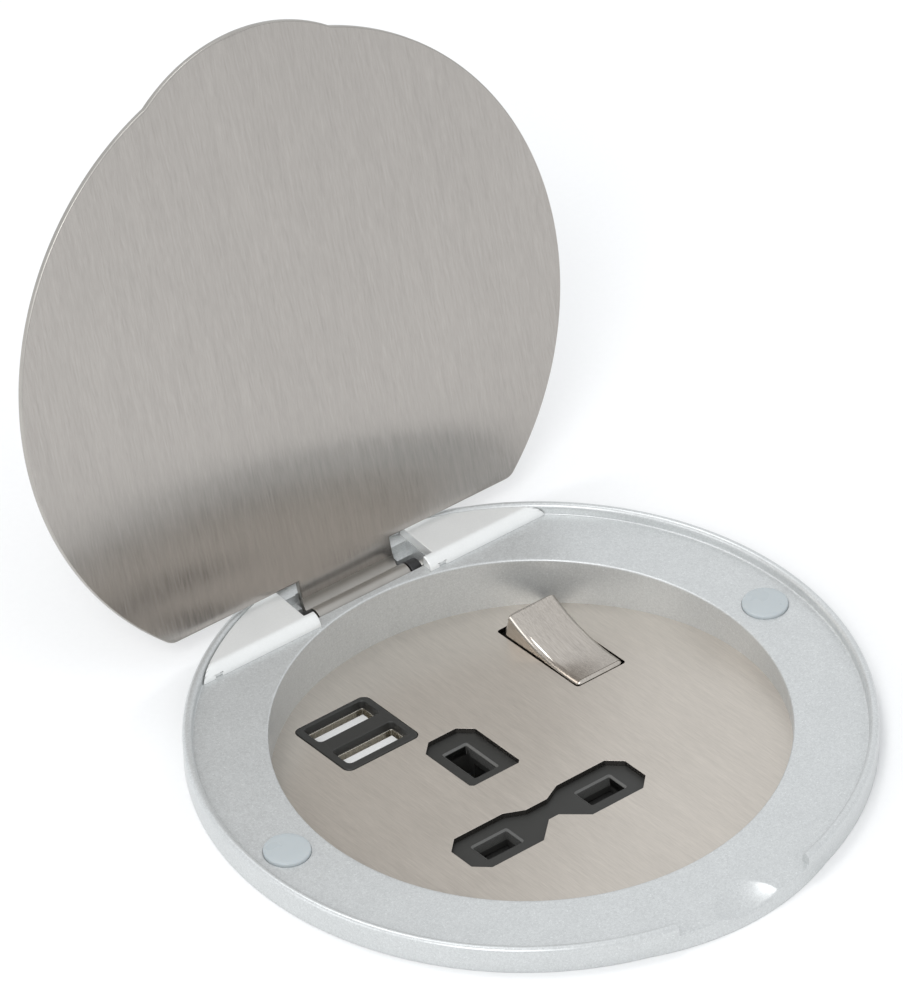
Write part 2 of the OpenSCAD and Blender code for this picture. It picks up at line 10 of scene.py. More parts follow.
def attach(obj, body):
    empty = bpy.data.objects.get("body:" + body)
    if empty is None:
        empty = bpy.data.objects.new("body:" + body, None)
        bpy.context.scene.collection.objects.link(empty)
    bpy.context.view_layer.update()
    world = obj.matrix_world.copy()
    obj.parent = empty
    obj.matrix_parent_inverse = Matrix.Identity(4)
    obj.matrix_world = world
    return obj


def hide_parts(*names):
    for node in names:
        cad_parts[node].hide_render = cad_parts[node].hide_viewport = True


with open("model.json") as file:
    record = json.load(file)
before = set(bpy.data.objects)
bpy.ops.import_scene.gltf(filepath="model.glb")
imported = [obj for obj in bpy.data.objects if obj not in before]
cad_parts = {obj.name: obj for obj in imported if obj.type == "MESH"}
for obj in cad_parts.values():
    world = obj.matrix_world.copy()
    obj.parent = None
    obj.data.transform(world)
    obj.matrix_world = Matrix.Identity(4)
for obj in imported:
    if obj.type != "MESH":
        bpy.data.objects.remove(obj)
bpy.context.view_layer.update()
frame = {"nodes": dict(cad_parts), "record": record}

MM = 0.001
NODES = frame["nodes"]
scene = bpy.context.scene
scene.view_settings.view_transform = "Standard"

BODY_OF = {n: b for b, ns in frame["record"]["behaviour"]["bodies"].items() for n in ns}
SLOT_OF = {s["node"]: s["material_slot"] for s in frame["record"]["subparts"]}

# Driving dimensions of the object, in millimetres and degrees
WELL_R, RIM_IN, RIM_OUT = 45.0, 58.0, 59.7
SEAT, TOP = 3.0, 5.0
GAP_HALF = 13.85
HINGE_Y, HINGE_Z, PIN_R, KNUCKLE_R = 48.8, 0.66, 1.2, 2.0
LID_R, LID_T, LID_EDGE_Y, TAB_R, TONGUE_HALF = 56.4, 1.2, 42.5, 33.1, 10
LID_ANGLE = 104.9
COVER_Y, NOSE_R = 44.0, 2.4
BUMPER_X, BUMPER_R = 51.8, 4.1
PLATE_Z, PLATE_ANGLE, PLATE_R = -3.5, 5.5, 46.4
SOCKET_X, ROW_T, PITCH = -8.0, -15.2, 22.23
ROCKER_X, ROCKER_T, ROCKER_ANGLE = 23.3, 21.75, 13.6
USB_X, USB_T = -18.4, 25.9

EARTH_T = ROW_T + PITCH
LID_UNDER = TOP - LID_T
LID_TILT = math.radians(180 - LID_ANGLE)
PLATE_TILT = math.radians(PLATE_ANGLE)
ROCKER_TILT = math.radians(ROCKER_ANGLE)


# ---------------------------------------------------------------- camera, floor and light

def make_camera():
    """Camera at a given azimuth, elevation and roll, looking past the hinge at the lid and the well."""
    azimuth, elevation, roll = (math.radians(a) for a in (-36.021, 38.484, -1.984))
    distance, aim = 1277.077, Vector((26.151, 57.891, 3.0))
    back = Vector((math.sin(azimuth) * math.cos(elevation), -math.cos(azimuth) * math.cos(elevation),
                   math.sin(elevation)))
    level = Vector((math.cos(azimuth), math.sin(azimuth), 0))
    upright = back.cross(level)
    right = level * math.cos(roll) + upright * math.sin(roll)
    up = upright * math.cos(roll) - level * math.sin(roll)
    data = bpy.data.cameras.new("camera")
    data.sensor_width = 36
    data.lens = 258.08
    data.shift_x = 0.00383
    data.shift_y = 0.00216
    data.clip_start = 0.01
    data.clip_end = 20
    cam = bpy.data.objects.new("camera", data)
    matrix = Matrix((right, up, back)).transposed().to_4x4()
    matrix.translation = back * distance * MM + aim * MM
    cam.matrix_world = matrix
    scene.collection.objects.link(cam)
    scene.camera = cam


def new_object(name, bm, smooth=True):
    me = bpy.data.meshes.new(name)
    bm.to_mesh(me)
    bm.free()
    for p in me.polygons:
        p.use_smooth = smooth
    ob = bpy.data.objects.new(name, me)
    scene.collection.objects.link(ob)
    return ob


def make_floor(hole=56 * MM, reach=4.0, n=128):
    """Desk surface, with the hole that the barrel goes through."""
    bm = bmesh.new()
    rings = []
    for r in (hole, 0.2, 1.0, reach):
        turns = [2 * math.pi * i / n for i in range(n)]
        rings.append([bm.verts.new((r * math.cos(a), r * math.sin(a), 0)) for a in turns])
    for a, b in zip(rings, rings[1:]):
        for i in range(n):
            k = (i + 1) % n
            bm.faces.new((a[i], b[i], b[k], a[k]))
    ob = new_object("floor", bm)
    return ob


def area(name, at, size, power):
    """Soft elliptical light at a point, turned to the object."""
    data = bpy.data.lights.new(name, "AREA")
    data.shape = "ELLIPSE"
    data.size, data.size_y = size
    data.energy = power
    ob = bpy.data.objects.new(name, data)
    ob.location = at
    ob.rotation_euler = (-Vector(at)).to_track_quat("-Z", "Y").to_euler()
    scene.collection.objects.link(ob)


def make_light():
    world = bpy.data.worlds.new("studio")
    scene.world = world
    world.use_nodes = True
    bg = world.node_tree.nodes["Background"]
    bg.inputs["Color"].default_value = (0.96, 0.98, 1.0, 1)
    bg.inputs["Strength"].default_value = 0.865
    area("key", (-0.95, -0.75, 1.25), (0.7, 0.7), 7)
    area("left", (-1.5, 0.25, 0.8), (0.9, 0.7), 2.5)
    area("top", (-0.1, 0.55, 1.5), (0.5, 0.5), 3.5)


# ---------------------------------------------------------------- materials

class Graph:
    """A material's node tree, with short ways to add nodes."""

    def __init__(self, name):
        self.mat = bpy.data.materials.new(name)
        self.mat.use_nodes = True
        self.tree = self.mat.node_tree
        self.shader = self.tree.nodes["Principled BSDF"]

    def put(self, socket, value):
        if isinstance(value, bpy.types.NodeSocket):
            self.tree.links.new(value, socket)
        else:
            socket.default_value = value

    def set(self, **values):
        for key, value in values.items():
            self.put(self.shader.inputs[key.replace("_", " ")], value)

    def coords(self, scale, turn=0.0):
        """Object coordinates turned about X, then stretched."""
        where = self.tree.nodes.new("ShaderNodeTexCoord").outputs["Object"]
        spun = self.tree.nodes.new("ShaderNodeVectorRotate")
        spun.rotation_type = "X_AXIS"
        self.put(spun.inputs["Vector"], where)
        spun.inputs["Angle"].default_value = turn
        mul = self.tree.nodes.new("ShaderNodeVectorMath")
        mul.operation = "MULTIPLY"
        self.put(mul.inputs[0], spun.outputs[0])
        mul.inputs[1].default_value = scale
        return mul.outputs[0]

    def noise(self, where, detail=2.0, rough=0.5):
        node = self.tree.nodes.new("ShaderNodeTexNoise")
        self.put(node.inputs["Vector"], where)
        node.inputs["Scale"].default_value = 1.0
        node.inputs["Detail"].default_value = detail
        node.inputs["Roughness"].default_value = rough
        return node.outputs["Fac"]

    def span(self, value, low, high, start=0.3, end=0.7):
        node = self.tree.nodes.new("ShaderNodeMapRange")
        self.put(node.inputs["Value"], value)
        for key, v in (("From Min", start), ("From Max", end), ("To Min", low), ("To Max", high)):
            node.inputs[key].default_value = v
        return node.outputs[0]

    def math(self, kind, a, b):
        node = self.tree.nodes.new("ShaderNodeMath")
        node.operation = kind
        self.put(node.inputs[0], a)
        self.put(node.inputs[1], b)
        return node.outputs[0]

    def tint(self, colour, factor):
        """colour times a grey factor."""
        node = self.tree.nodes.new("ShaderNodeVectorMath")
        node.operation = "SCALE"
        node.inputs[0].default_value = colour
        self.put(node.inputs["Scale"], factor)
        return node.outputs[0]

    def bump(self, height, distance, strength=1.0, under=None):
        node = self.tree.nodes.new("ShaderNodeBump")
        self.put(node.inputs["Height"], height)
        node.inputs["Distance"].default_value = distance
        node.inputs["Strength"].default_value = strength
        if under is not None:
            self.put(node.inputs["Normal"], under)
        return node.outputs["Normal"]


def silver_paint(name, colour, grain, rough=0.34, metallic=0.5):
    """Metallic paint: fine flakes, a few of them painted in as glints, orange peel and broad mottling."""
    g = Graph(name)
    flakes = g.noise(g.coords((5200,) * 3), detail=3, rough=0.7)
    specks = g.noise(g.coords((2200,) * 3), detail=2)
    # painted glints: rare bright spots added to the base colour, standing in for flakes that catch the light
    painted_glints = g.span(g.noise(g.coords((3900,) * 3), detail=1), 0, 2.2 * grain, 0.66, 0.74)
    cloud = g.noise(g.coords((160,) * 3), detail=2)
    glow = g.math("MULTIPLY", g.span(flakes, 1 - grain, 1 + grain),
                  g.span(specks, 1 - 0.6 * grain, 1 + 0.6 * grain))
    glow = g.math("ADD", g.math("MULTIPLY", glow, g.span(cloud, 0.985, 1.015)), painted_glints)
    g.set(Base_Color=g.tint(colour, glow), Metallic=metallic,
          Roughness=g.span(specks, rough - 0.5 * grain, rough + 0.5 * grain))
    peel = g.bump(g.noise(g.coords((1500,) * 3), detail=2), 0.00001, 0.3 * grain / 0.08)
    g.set(Normal=g.bump(flakes, 0.000008, 0.5 * grain / 0.08, peel))
    return g.mat


def brushed_metal(name, colour, rough, turn, streak=0.07, groove=0.25, anisotropic=0.6, metallic=1.0):
    """Brushed sheet: the brushing runs along Y once the surface is turned about X."""
    g = Graph(name)
    fine = g.noise(g.coords((9000, 420, 9000), turn), detail=2, rough=0.6)
    mid = g.noise(g.coords((3600, 190, 3600), turn), detail=3, rough=0.6)
    wide = g.noise(g.coords((700, 26, 700), turn), detail=2)
    cloud = g.noise(g.coords((30, 22, 30), turn), detail=2)
    glow = g.math("MULTIPLY", g.span(fine, 1 - streak, 1 + streak), g.span(mid, 1 - streak, 1 + streak))
    glow = g.math("MULTIPLY", glow, g.span(wide, 1 - 0.35 * streak, 1 + 0.35 * streak))
    glow = g.math("MULTIPLY", glow, g.span(cloud, 0.985, 1.015))
    g.set(Base_Color=g.tint(colour, glow), Metallic=metallic, Anisotropic=anisotropic,
          Roughness=g.span(mid, rough - 0.04, rough + 0.04))
    tangent = g.tree.nodes.new("ShaderNodeTangent")
    tangent.direction_type = "UV_MAP"
    tangent.uv_map = "across"
    g.set(Tangent=tangent.outputs[0])
    height = g.math("ADD", fine, g.math("MULTIPLY", mid, 0.8))
    g.set(Normal=g.bump(height, 0.000004, groove))
    return g.mat


def plastic(name, colour, rough=0.5, grain=0.1):
    """Moulded plastic with a fine spark-eroded texture."""
    g = Graph(name)
    grit = g.noise(g.coords((4000,) * 3), detail=3, rough=0.6)
    cloud = g.noise(g.coords((120,) * 3), detail=2)
    glow = g.math("MULTIPLY", g.span(grit, 1 - grain, 1 + grain), g.span(cloud, 0.97, 1.03))
    g.set(Base_Color=g.tint(colour, glow), Metallic=0.0,
          Roughness=g.span(grit, rough - 0.06, rough + 0.06), Normal=g.bump(grit, 0.00001, 0.35))
    return g.mat


def polished(name, colour, rough=0.12):
    """Bright turned metal with faint lines around it."""
    g = Graph(name)
    lines = g.noise(g.coords((9000, 500, 500)), detail=2)
    smear = g.noise(g.coords((300,) * 3), detail=2)
    g.set(Base_Color=g.tint(colour, g.span(smear, 0.95, 1.03)), Metallic=1.0,
          Roughness=g.span(lines, rough - 0.04, rough + 0.06), Normal=g.bump(lines, 0.000002, 0.3))
    return g.mat


def clear_rubber(name, colour):
    """Milky clear silicone: smooth, glossy and slightly blue."""
    g = Graph(name)
    haze = g.noise(g.coords((240,) * 3), detail=2)
    g.set(Base_Color=g.tint(colour, g.span(haze, 0.985, 1.015)), Roughness=g.span(haze, 0.26, 0.32),
          IOR=1.41, Coat_Weight=0.25, Subsurface_Weight=0.15, Normal=g.bump(haze, 0.000004, 0.15))
    g.shader.inputs["Subsurface Radius"].default_value = (0.0004, 0.0005, 0.0006)
    g.shader.inputs["Subsurface Scale"].default_value = 1.0
    return g.mat


def floor_paper(name):
    g = Graph(name)
    grain = g.noise(g.coords((900,) * 3), detail=2)
    g.set(Base_Color=g.tint((0.93, 0.93, 0.93), g.span(grain, 0.995, 1.005)), Roughness=0.9,
          Specular_IOR_Level=0.1)
    return g.mat


def make_materials():
    return {
        "silver_cast": silver_paint("silver_cast", (0.62, 0.635, 0.635), 0.10),
        "silver_moulding": silver_paint("silver_moulding", (0.90, 0.91, 0.90), 0.018, 0.3, 0.4),
        "lid_steel": brushed_metal("lid_steel", (0.43, 0.405, 0.38), 0.2, -LID_TILT,
                                   0.065, 0.12, 0.9, 0.9),
        "lid_edge": polished("lid_edge", (0.46, 0.44, 0.41), 0.36),
        "plate_steel": brushed_metal("plate_steel", (0.60, 0.555, 0.50), 0.34, PLATE_TILT,
                                     0.05, 0.12, 0.6, 0.6),
        # dark copy of the plate steel for the plate's walls and rounded edges: painted shade
        "plate_edge_painted_shade": polished("plate_edge_painted_shade", (0.16, 0.15, 0.14), 0.25),
        # lighter copy of the black insert plastic for its chamfers and slot walls: painted highlight
        "insert_edge_painted_highlight": plastic("insert_edge_painted_highlight", (0.11, 0.11, 0.105), 0.35, 0.1),
        "rocker_nickel": brushed_metal("rocker_nickel", (0.56, 0.515, 0.465), 0.17,
                                       PLATE_TILT - ROCKER_TILT, 0.10, 0.1, 0.7),
        "pin_steel": polished("pin_steel", (0.70, 0.68, 0.65)),
        "screw_steel": polished("screw_steel", (0.55, 0.55, 0.55), 0.3),
        "shell_steel": polished("shell_steel", (0.78, 0.74, 0.66), 0.24),
        "contact_brass": polished("contact_brass", (0.75, 0.55, 0.25), 0.28),
        "insert_black": plastic("insert_black", (0.028, 0.028, 0.026), 0.42, 0.12),
        "back_grey": plastic("back_grey", (0.09, 0.095, 0.10), 0.55, 0.08),
        "bush_nylon": plastic("bush_nylon", (0.02, 0.02, 0.021), 0.4, 0.08),
        "shutter_black": plastic("shutter_black", (0.022, 0.022, 0.021), 0.5, 0.05),
        "tongue_white": plastic("tongue_white", (0.80, 0.80, 0.79), 0.35, 0.02),
        "bumper_clear": clear_rubber("bumper_clear", (0.47, 0.51, 0.525)),
        "board_green": plastic("board_green", (0.02, 0.12, 0.05), 0.4, 0.1),
    }


# ---------------------------------------------------------------- mesh tools

# The mesh tools below work in millimetres; place() brings a mesh to metres in the row frame.
PLATE = Matrix.Translation((0, 0, PLATE_Z)) @ Matrix.Rotation(-PLATE_TILT, 4, "X")
PIVOT = Vector((0, HINGE_Y, HINGE_Z))
LID_OPEN = (Matrix.Translation(PIVOT) @ Matrix.Rotation(-math.radians(LID_ANGLE), 4, "X")
            @ Matrix.Translation(-PIVOT))
ROCKER = (PLATE @ Matrix.Translation((ROCKER_X, ROCKER_T, -4.0))
          @ Matrix.Rotation(ROCKER_TILT, 4, "X"))


def evaluated(ob):
    bpy.context.view_layer.update()
    return bpy.data.meshes.new_from_object(ob.evaluated_get(bpy.context.evaluated_depsgraph_get()))


def bake_modifiers(ob):
    me = evaluated(ob)
    ob.modifiers.clear()
    ob.data = me


def round_edges(ob, width, segments=3, angle=35):
    mod = ob.modifiers.new("edges", "BEVEL")
    mod.width = width
    mod.segments = segments
    mod.limit_method = "ANGLE"
    mod.angle_limit = math.radians(angle)
    mod.use_clamp_overlap = False
    bake_modifiers(ob)


def cut(ob, *cutters, operation="DIFFERENCE"):
    for c in cutters:
        mod = ob.modifiers.new("cut", "BOOLEAN")
        mod.operation = operation
        mod.solver = "EXACT"
        mod.object = c
    bake_modifiers(ob)
    for c in cutters:
        bpy.data.objects.remove(c)


def box(low, high):
    bm = bmesh.new()
    bmesh.ops.create_cube(bm, size=1)
    for v in bm.verts:
        v.co = Vector([low[i] + (v.co[i] + 0.5) * (high[i] - low[i]) for i in range(3)])
    return new_object("box", bm, smooth=False)


def rod(at, radius, length, axis="X", n=96, ends=0.0):
    """Solid cylinder centred on a point, along X or Z, with rounded ends."""
    bm = bmesh.new()
    bmesh.ops.create_cone(bm, cap_ends=True, segments=n, radius1=radius, radius2=radius, depth=length)
    turn = Matrix.Rotation(math.radians(90), 4, "Y") if axis == "X" else Matrix.Identity(4)
    bmesh.ops.transform(bm, matrix=Matrix.Translation(at) @ turn, verts=bm.verts)
    ob = new_object("rod", bm)
    if ends:
        round_edges(ob, ends)
    return ob


def lathe(profile, n=360, at=(0, 0, 0)):
    """Closed profile of (radius, height) points spun about Z."""
    bm = bmesh.new()
    rings = []
    for i in range(n):
        a = 2 * math.pi * i / n
        rings.append([bm.verts.new((at[0] + r * math.cos(a), at[1] + r * math.sin(a), at[2] + z))
                      for r, z in profile])
    m = len(profile)
    for i in range(n):
        a, b = rings[i], rings[(i + 1) % n]
        for j in range(m):
            k = (j + 1) % m
            bm.faces.new((a[j], b[j], b[k], a[k]))
    bmesh.ops.remove_doubles(bm, verts=bm.verts, dist=1e-5)
    bmesh.ops.recalc_face_normals(bm, faces=bm.faces)
    return new_object("lathe", bm)


def arc(cx, cy, r, start, end, n):
    """Points on an arc, angles in degrees."""
    return [(cx + r * math.cos(math.radians(start + (end - start) * i / n)),
             cy + r * math.sin(math.radians(start + (end - start) * i / n))) for i in range(n + 1)]


def round_rect(cx, cy, sx, sy, r, n=8):
    pts = []
    for i, (kx, ky) in enumerate(((1, 1), (-1, 1), (-1, -1), (1, -1))):
        pts += arc(cx + kx * (sx / 2 - r), cy + ky * (sy / 2 - r), r, 90 * i, 90 * i + 90, n)
    return pts


def crossing(c1, r1, c2, r2):
    """Upper or outer meeting point of two circles, as an angle in degrees about each centre."""
    d = Vector(c2) - Vector(c1)
    a = (r1 ** 2 - r2 ** 2 + d.length_squared) / (2 * d.length)
    h = math.sqrt(r1 ** 2 - a ** 2)
    u = d.normalized()
    p = Vector(c1) + u * a + Vector((-u.y, u.x)) * h
    return tuple(math.degrees(math.atan2(p.y - c[1], p.x - c[0])) for c in (c1, c2))


def softened(points, r, n=4):
    """Polygon with its corners rounded to radius r."""
    out = []
    for i, p in enumerate(points):
        a, b, c = Vector(points[i - 1]), Vector(p), Vector(points[(i + 1) % len(points)])
        u, v = (a - b).normalized(), (c - b).normalized()
        half = math.acos(max(-1, min(1, u.dot(v)))) / 2
        if half > math.radians(88):
            out.append(tuple(b))
            continue
        back = min(r / math.tan(half), 0.45 * (a - b).length, 0.45 * (c - b).length)
        for k in range(n + 1):
            t = k / n
            out.append(tuple((b + u * back) * (1 - t) ** 2 + b * 2 * t * (1 - t) + (b + v * back) * t * t))
    return out


def slab(outlines, low, high, edge=0.1, steps=2):
    """Flat plate from an outer outline and its holes, with rounded or bevelled edges."""
    cu = bpy.data.curves.new("slab", "CURVE")
    cu.dimensions = "2D"
    cu.fill_mode = "BOTH"
    cu.extrude = (high - low) / 2 - edge
    cu.bevel_depth = edge
    cu.bevel_resolution = steps
    cu.offset = -edge
    for pts in outlines:
        sp = cu.splines.new("POLY")
        sp.points.add(len(pts) - 1)
        for q, (x, y) in zip(sp.points, pts):
            q.co = (x, y, 0, 1)
        sp.use_cyclic_u = True
    tmp = bpy.data.objects.new("slab", cu)
    scene.collection.objects.link(tmp)
    me = evaluated(tmp)
    bpy.data.objects.remove(tmp)
    bm = bmesh.new()
    bm.from_mesh(me)
    bmesh.ops.remove_doubles(bm, verts=bm.verts, dist=1e-4)
    bmesh.ops.recalc_face_normals(bm, faces=bm.faces)
    bmesh.ops.translate(bm, verts=bm.verts, vec=(0, 0, (low + high) / 2))
    return new_object("slab", bm)


def sweep_x(profile, x0, x1, n=1):
    """Closed (y, z) profile run along X."""
    bm = bmesh.new()
    rings = [[bm.verts.new((x0 + (x1 - x0) * i / n, y, z)) for y, z in profile] for i in range(n + 1)]
    m = len(profile)
    for a, b in zip(rings, rings[1:]):
        for j in range(m):
            bm.faces.new((a[j], a[(j + 1) % m], b[(j + 1) % m], b[j]))
    bm.faces.new(rings[0])
    bm.faces.new(rings[-1][::-1])
    bmesh.ops.recalc_face_normals(bm, faces=bm.faces)
    return new_object("sweep", bm)


def joined(obs):
    """One object from several."""
    bm = bmesh.new()
    for o in obs:
        me = o.data.copy()
        me.transform(o.matrix_world)
        bm.from_mesh(me)
        bpy.data.objects.remove(o)
    return new_object("joined", bm)


def planar_uv(me, scale=0.01):
    """UV map with U along X, so the brushed highlights spread across the brushing."""
    for layer in list(me.uv_layers):
        me.uv_layers.remove(layer)
    layer = me.uv_layers.new(name="across")
    for loop in me.loops:
        co = me.vertices[loop.vertex_index].co
        layer.data[loop.index].uv = (co.x * scale, (co.y + co.z) * scale)


def paint_edge_light(ob, level, steep, limit):
    """Level faces keep one material; the walls and chamfers around them get a recoloured copy of it: painted
    shade on the plate, painted highlight on the socket face.
    """
    ob.data.materials.append(MATERIALS[level])
    ob.data.materials.append(MATERIALS[steep])
    for p in ob.data.polygons:
        p.material_index = 0 if abs(p.normal.z) > limit else 1


def place(ob, name, node, matrix=None, sharp=40):
    """Names a piece, brings it to metres, and says which CAD node it stands for."""
    ob.name = ob.data.name = name
    if matrix is not None:
        ob.data.transform(matrix)
    planar_uv(ob.data)
    ob.data.transform(Matrix.Scale(MM, 4))
    for p in ob.data.polygons:
        p.use_smooth = True
    ob.data.set_sharp_from_angle(angle=math.radians(sharp))
    ob.modifiers.new("flat faces", "WEIGHTED_NORMAL").keep_sharp = True
    bake_modifiers(ob)
    if not ob.data.materials:
        ob.data.materials.append(MATERIALS[SLOT_OF[node]])
    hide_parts(node)
    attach(ob, BODY_OF[node])


def cad_copy(node, width=0.0, plane=None):
    """The node's own shape in millimetres, optionally only what lies under a plane."""
    source = NODES[node].data
    bm = bmesh.new()
    verts = [bm.verts.new(v.co / MM) for v in source.vertices]
    for p in source.polygons:
        try:
            bm.faces.new([verts[i] for i in p.vertices])
        except ValueError:
            pass
    bmesh.ops.remove_doubles(bm, verts=bm.verts, dist=1e-3)
    if plane is not None:
        at, normal = plane
        bmesh.ops.bisect_plane(bm, geom=bm.verts[:] + bm.edges[:] + bm.faces[:], plane_co=at, plane_no=normal,
                               clear_outer=True)
        rim = [e for e in bm.edges if e.is_boundary]
        bmesh.ops.triangle_fill(bm, edges=rim, use_beauty=True, normal=normal)
    bmesh.ops.recalc_face_normals(bm, faces=bm.faces)
    if width:
        bmesh.ops.dissolve_limit(bm, angle_limit=math.radians(0.4), verts=bm.verts, edges=bm.edges)
    ob = new_object(node + "_copy", bm)
    if width:
        round_edges(ob, width, 2)
    return ob


def dress(node):
    """Gives a CAD node its procedural material."""
    me = NODES[node].data
    planar_uv(me, 10)
    me.materials.clear()
    me.materials.append(MATERIALS[SLOT_OF[node]])


# ---------------------------------------------------------------- ring

def smooth(t):
    t = max(0.0, min(1.0, t))
    return t * t * (3 - 2 * t)


def seat_height(x, y):
    """Ring surface: flat, with the thumb scoop, part of a ball, at the front."""
    scoop_y, ball_r, ball_z, soft = -59.6, 17.7, 19.6, 0.06
    d = math.hypot(x, y - scoop_y)
    if d >= 12:
        return SEAT
    dip = ball_z - math.sqrt(ball_r ** 2 - d * d) - SEAT
    return SEAT + 0.5 * (dip - math.sqrt(dip * dip + soft * soft))


def wall_radius(a, z):
    """Outer wall, which swells at the foot under the finger tab."""
    swell_y, swell_r, lean = 13.2, 47.4, 1.1
    c = -swell_y * math.sin(a)
    r = swell_r - lean * z / SEAT
    flare = c + math.sqrt(c * c - swell_y ** 2 + r * r)
    return max(RIM_OUT, flare)


def ring_angles():
    """Section angles: every half degree, closer at the scoop and closest at the ends of the rim's gap."""
    marks = [math.radians(0.5 * i) for i in range(720)]
    marks += [math.radians(-90 + 0.12 * i) for i in range(-70, 71)]
    for side in (-1, 1):
        marks += [math.radians(-90 + side * (13.0 + 0.012 * i)) for i in range(110)]
    turn = 2 * math.pi
    marks = sorted(m % turn for m in marks)
    out = [marks[0]]
    for m in marks[1:]:
        if m - out[-1] > 1e-4:
            out.append(m)
    return out


def ring_profile(foot):
    """(part, radius, height) points around a section whose well wall reaches down to foot."""
    lip, fillet, rim_round, rim_low, foot_round, under_r = 0.3, 0.25, 0.85, 3.6, 0.2, 47.2
    well = [(WELL_R, foot - 0.05)]
    well += [(WELL_R, foot + (SEAT - lip - foot) * t) for t in (0.02, 0.35, 0.7, 1.0)]
    radii = [45.8, 47.5, 50, 52] + [52.6 + 0.3 * i for i in range(16)] + [57.45]
    seat = arc(WELL_R + lip, SEAT - lip, lip, 180, 90, 5)[1:] + [(r, SEAT) for r in radii]
    rim = arc(RIM_IN - fillet, SEAT + fillet, fillet, -90, 0, 4) + [(RIM_IN, rim_low)]
    rim += arc(RIM_IN + rim_round, TOP - rim_round, rim_round, 180, 0, 18)
    rim += [(RIM_OUT, rim_low), (RIM_OUT, SEAT)]
    wall = [(RIM_OUT, z) for z in (2.6, 2.1, 1.6, 1.1, 0.6, 0.25)]
    wall += arc(RIM_OUT - foot_round, foot_round, foot_round, 0, -90, 4)[1:]
    under = [(under_r, 0.0), (under_r, min(foot - 0.25, -0.05))]
    parts = (("well", well), ("seat", seat), ("rim", rim), ("wall", wall), ("under", under))
    return [(part, r, z) for part, line in parts for r, z in line]


def ring_point(a, part, r, z):
    """A profile point at one angle, with the rim's gap, the scoop and the swelling wall worked in."""
    step, lip_drop = 0.12, 0.08
    x, y = r * math.cos(a), r * math.sin(a)
    if part in ("seat", "rim"):
        rise = z - SEAT
        if part == "rim" and y < 0 and rise > 0:
            rise *= smooth((abs(x) - GAP_HALF + step / 2) / step)
        z = seat_height(x, y) + rise
        if rise <= 0.001 and r > RIM_OUT - 0.1 and y < -50 and abs(x) < GAP_HALF:
            z -= lip_drop
    elif part == "wall":
        z *= seat_height(RIM_OUT * math.cos(a), RIM_OUT * math.sin(a)) / SEAT
        r += wall_radius(a, z) - RIM_OUT
        x, y = r * math.cos(a), r * math.sin(a)
    return x, y, z


def make_ring():
    bm = bmesh.new()
    rings = []
    for a in ring_angles():
        foot = PLATE_Z - math.tan(PLATE_TILT) * WELL_R * math.sin(a)
        rings.append([bm.verts.new(ring_point(a, *point)) for point in ring_profile(foot)])
    n, m = len(rings), len(rings[0])
    for i in range(n):
        p, q = rings[i], rings[(i + 1) % n]
        for j in range(m):
            k = (j + 1) % m
            bm.faces.new((p[j], q[j], q[k], p[k]))
    bmesh.ops.recalc_face_normals(bm, faces=bm.faces)
    ring = new_object("ring", bm)
    half, front, back, step_back, step_z = 13.9, 46.3, 52.0, 53.9, 1.2
    swing_y, swing_z, swing_r, swing_half = 49.48, 3.2, 4.69, 10.45
    swing = [p for p in arc(swing_y, swing_z, swing_r, 135, 404, 48) if p[0] > 46.5]
    cutters = [box((-half, front, -3), (half, back, 8)), box((-half, front, step_z), (half, step_back, 8)),
               sweep_x(swing, -swing_half, swing_half)]
    cutters += [rod((x, 0, 3.2), BUMPER_R + 0.1, 1.0, "Z") for x in (BUMPER_X, -BUMPER_X)]
    cut(ring, *cutters)
    place(ring, "ring", "bezel_ring", sharp=32)
    lower = cad_copy("bezel_ring", plane=((0, 0, -0.03), (0, 0, 1)))
    place(lower, "ring_lower", "bezel_ring", sharp=32)


# ---------------------------------------------------------------- hinge and lid

def make_cover(side):
    """Flat moulding with a rounded nose, cut round to sit inside the rim; side is -1 or 1."""
    inner, outer, back, gap, step = 12.0, 42.0, 60.0, 0.25, 14.0
    notch_x = -33.9 if side < 0 else 14.7
    notch_half, notch_back, notch_low, notch_top = 0.7, 44.45, 2.5, 3.7
    nose_y = COVER_Y + NOSE_R
    nose = arc(nose_y, TOP - NOSE_R, NOSE_R, 170.4, 90, 24)
    body = sweep_x(nose + [(back, TOP), (back, SEAT)], *sorted((side * inner, side * outer)), 40)
    cut(body, rod((0, 0, 4), RIM_IN - gap, 10, "Z", 720), operation="INTERSECT")
    cut(body, box((-step, nose_y, 0), (step, 70, 10)))
    cut(body, box((notch_x - notch_half, 43.0, notch_low), (notch_x + notch_half, notch_back, notch_top)))
    round_edges(body, 0.12, 2, 55)
    name = "hinge_cover_left" if side < 0 else "hinge_cover_right"
    place(body, name + "_shell", name, sharp=50)


TONGUE_END, CURL_Y, OVERLAP = 45.6, 46.2, 0.01


def lid_outline():
    """Round sheet with a finger tab, a straight hinge edge and the flat of its tongue, closed."""
    fillet, kink_x = 3.0, 19.5
    corner_y = LID_EDGE_Y - fillet
    corner_x = math.sqrt((LID_R - fillet) ** 2 - corner_y ** 2)
    corner = math.degrees(math.atan2(corner_y, corner_x))
    kink = math.degrees(math.asin(kink_x / LID_R))
    tab = math.degrees(math.asin(kink_x / TAB_R))
    tab_y = -LID_R * math.cos(math.radians(kink)) + TAB_R * math.cos(math.radians(tab))
    right = arc(corner_x, corner_y, fillet, 90, corner, 8) + arc(0, 0, LID_R, corner, -90 + kink, 150)[1:]
    nib = arc(0, tab_y, TAB_R, -90 + tab, -90 - tab, 60)
    left = [(-x, y) for x, y in right[::-1]]
    w = TONGUE_HALF
    tongue = [(-w, LID_EDGE_Y), (-w, CURL_Y), (w, CURL_Y), (w, LID_EDGE_Y)]
    return right + nib[1:-1] + left + tongue


